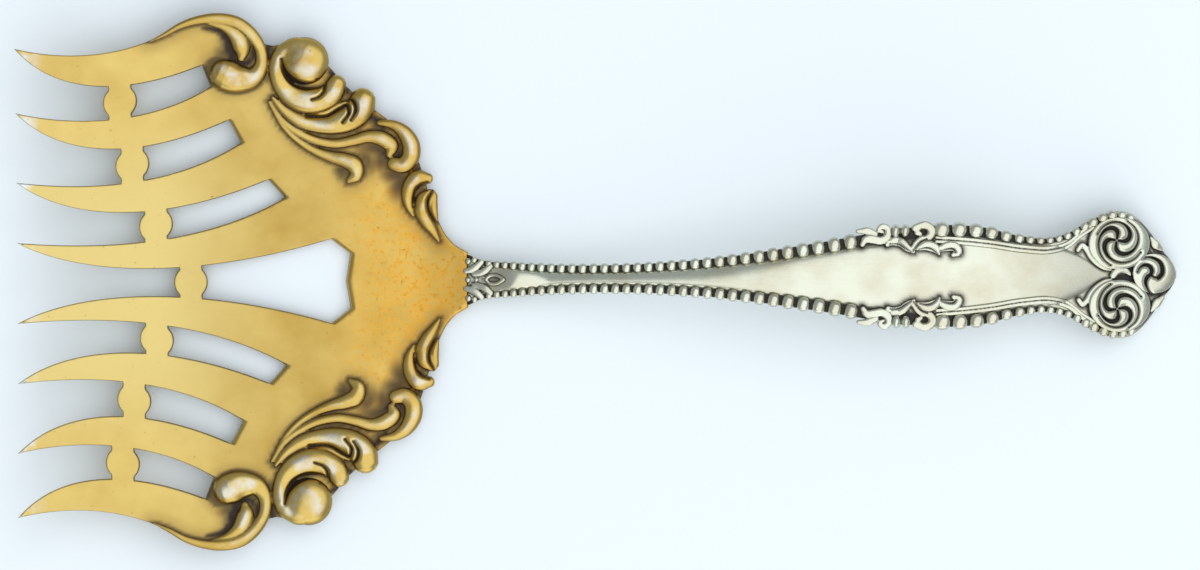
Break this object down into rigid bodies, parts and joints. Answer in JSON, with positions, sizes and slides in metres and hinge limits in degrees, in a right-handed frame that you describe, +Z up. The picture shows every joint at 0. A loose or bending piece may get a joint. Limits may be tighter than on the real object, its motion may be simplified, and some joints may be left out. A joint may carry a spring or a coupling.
{
  "type": "sardine fork",
  "caption": "Silver serving fork with a broad gilt head: curved tines tied by round beads, scrollwork shoulders, and a beaded, whorl-ended handle. Lifts sardines whole.",
  "frame": {"origin": "on the table, under the middle of the fork's length and width", "axes": "+X from the tines to the end of the handle, +Y to the left when looking along +X, from the tines to the handle, +Z up, out of the face of the fork"},
  "size_m": [0.1524, 0.0712, 0.0112],
  "materials": {
    "gilt_silver": "fire gilding on silver, satin, dark in the recesses, worn on the crowns and tips",
    "oxidised_silver": "polished silver with black oxide left in the recesses"
  },
  "bodies": {
    "root": {"fork_head": "gilt_silver", "left_scroll_border": "gilt_silver", "right_scroll_border": "gilt_silver", "handle": "oxidised_silver", "heel_palmette": "oxidised_silver", "left_lower_beads": "oxidised_silver", "right_lower_beads": "oxidised_silver", "left_upper_beads": "oxidised_silver", "right_upper_beads": "oxidised_silver", "left_side_scroll": "oxidised_silver", "right_side_scroll": "oxidised_silver", "left_thread": "oxidised_silver", "right_thread": "oxidised_silver", "left_whorl": "oxidised_silver", "right_whorl": "oxidised_silver", "end_scroll": "oxidised_silver"}
  },
  "joints": []
}
